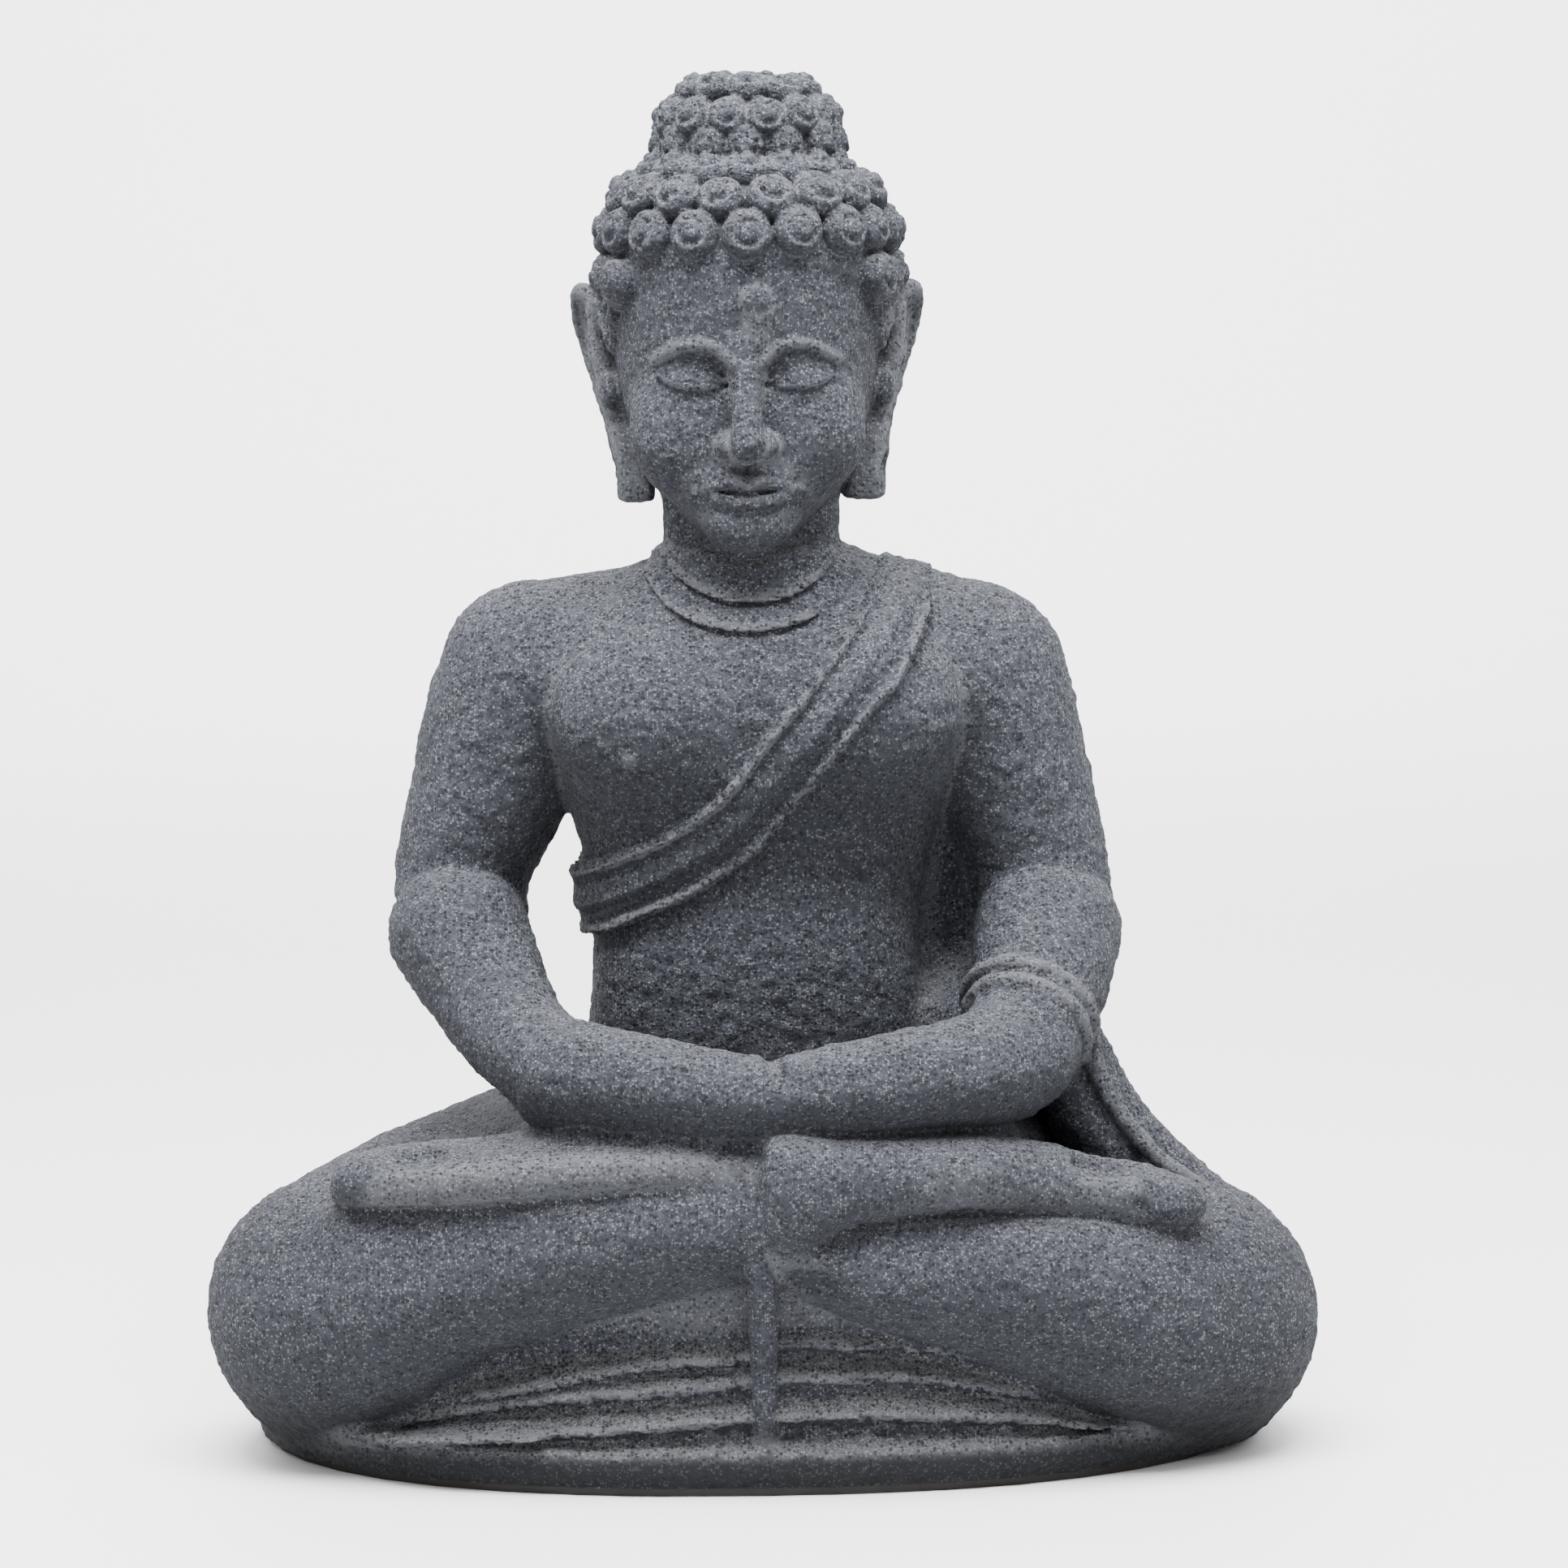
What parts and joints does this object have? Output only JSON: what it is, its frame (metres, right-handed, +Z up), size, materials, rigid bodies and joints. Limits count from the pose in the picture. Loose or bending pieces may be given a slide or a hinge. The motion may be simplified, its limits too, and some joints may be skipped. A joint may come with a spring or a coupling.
{
  "type": "seated buddha garden statue",
  "caption": "Cast stone seated figure in lotus posture with snail-curl hair, long ears, a sash and hands joined in the lap, on a low base with a rubber pad.",
  "frame": {"origin": "on the floor, under the middle of the whole statue's box", "axes": "+Z up; the figure faces -Y; its right arm is at -X and its left arm at +X"},
  "size_m": [0.4028, 0.23, 0.4994],
  "materials": {
    "cast_stone": "matte",
    "mortar": "matte",
    "steel": "satin",
    "fibre_cement": "matte",
    "pad_rubber": "matte"
  },
  "bodies": {
    "root": {"base_pad": "pad_rubber", "closing_plate": "fibre_cement", "seat_casting": "cast_stone", "waist_mortar": "mortar", "waist_dowel_right": "steel", "waist_dowel_left": "steel", "torso_casting": "cast_stone", "right_arm_bar": "steel", "left_arm_bar": "steel", "neck_mortar": "mortar", "neck_dowel": "steel", "head_casting": "cast_stone"}
  },
  "joints": []
}
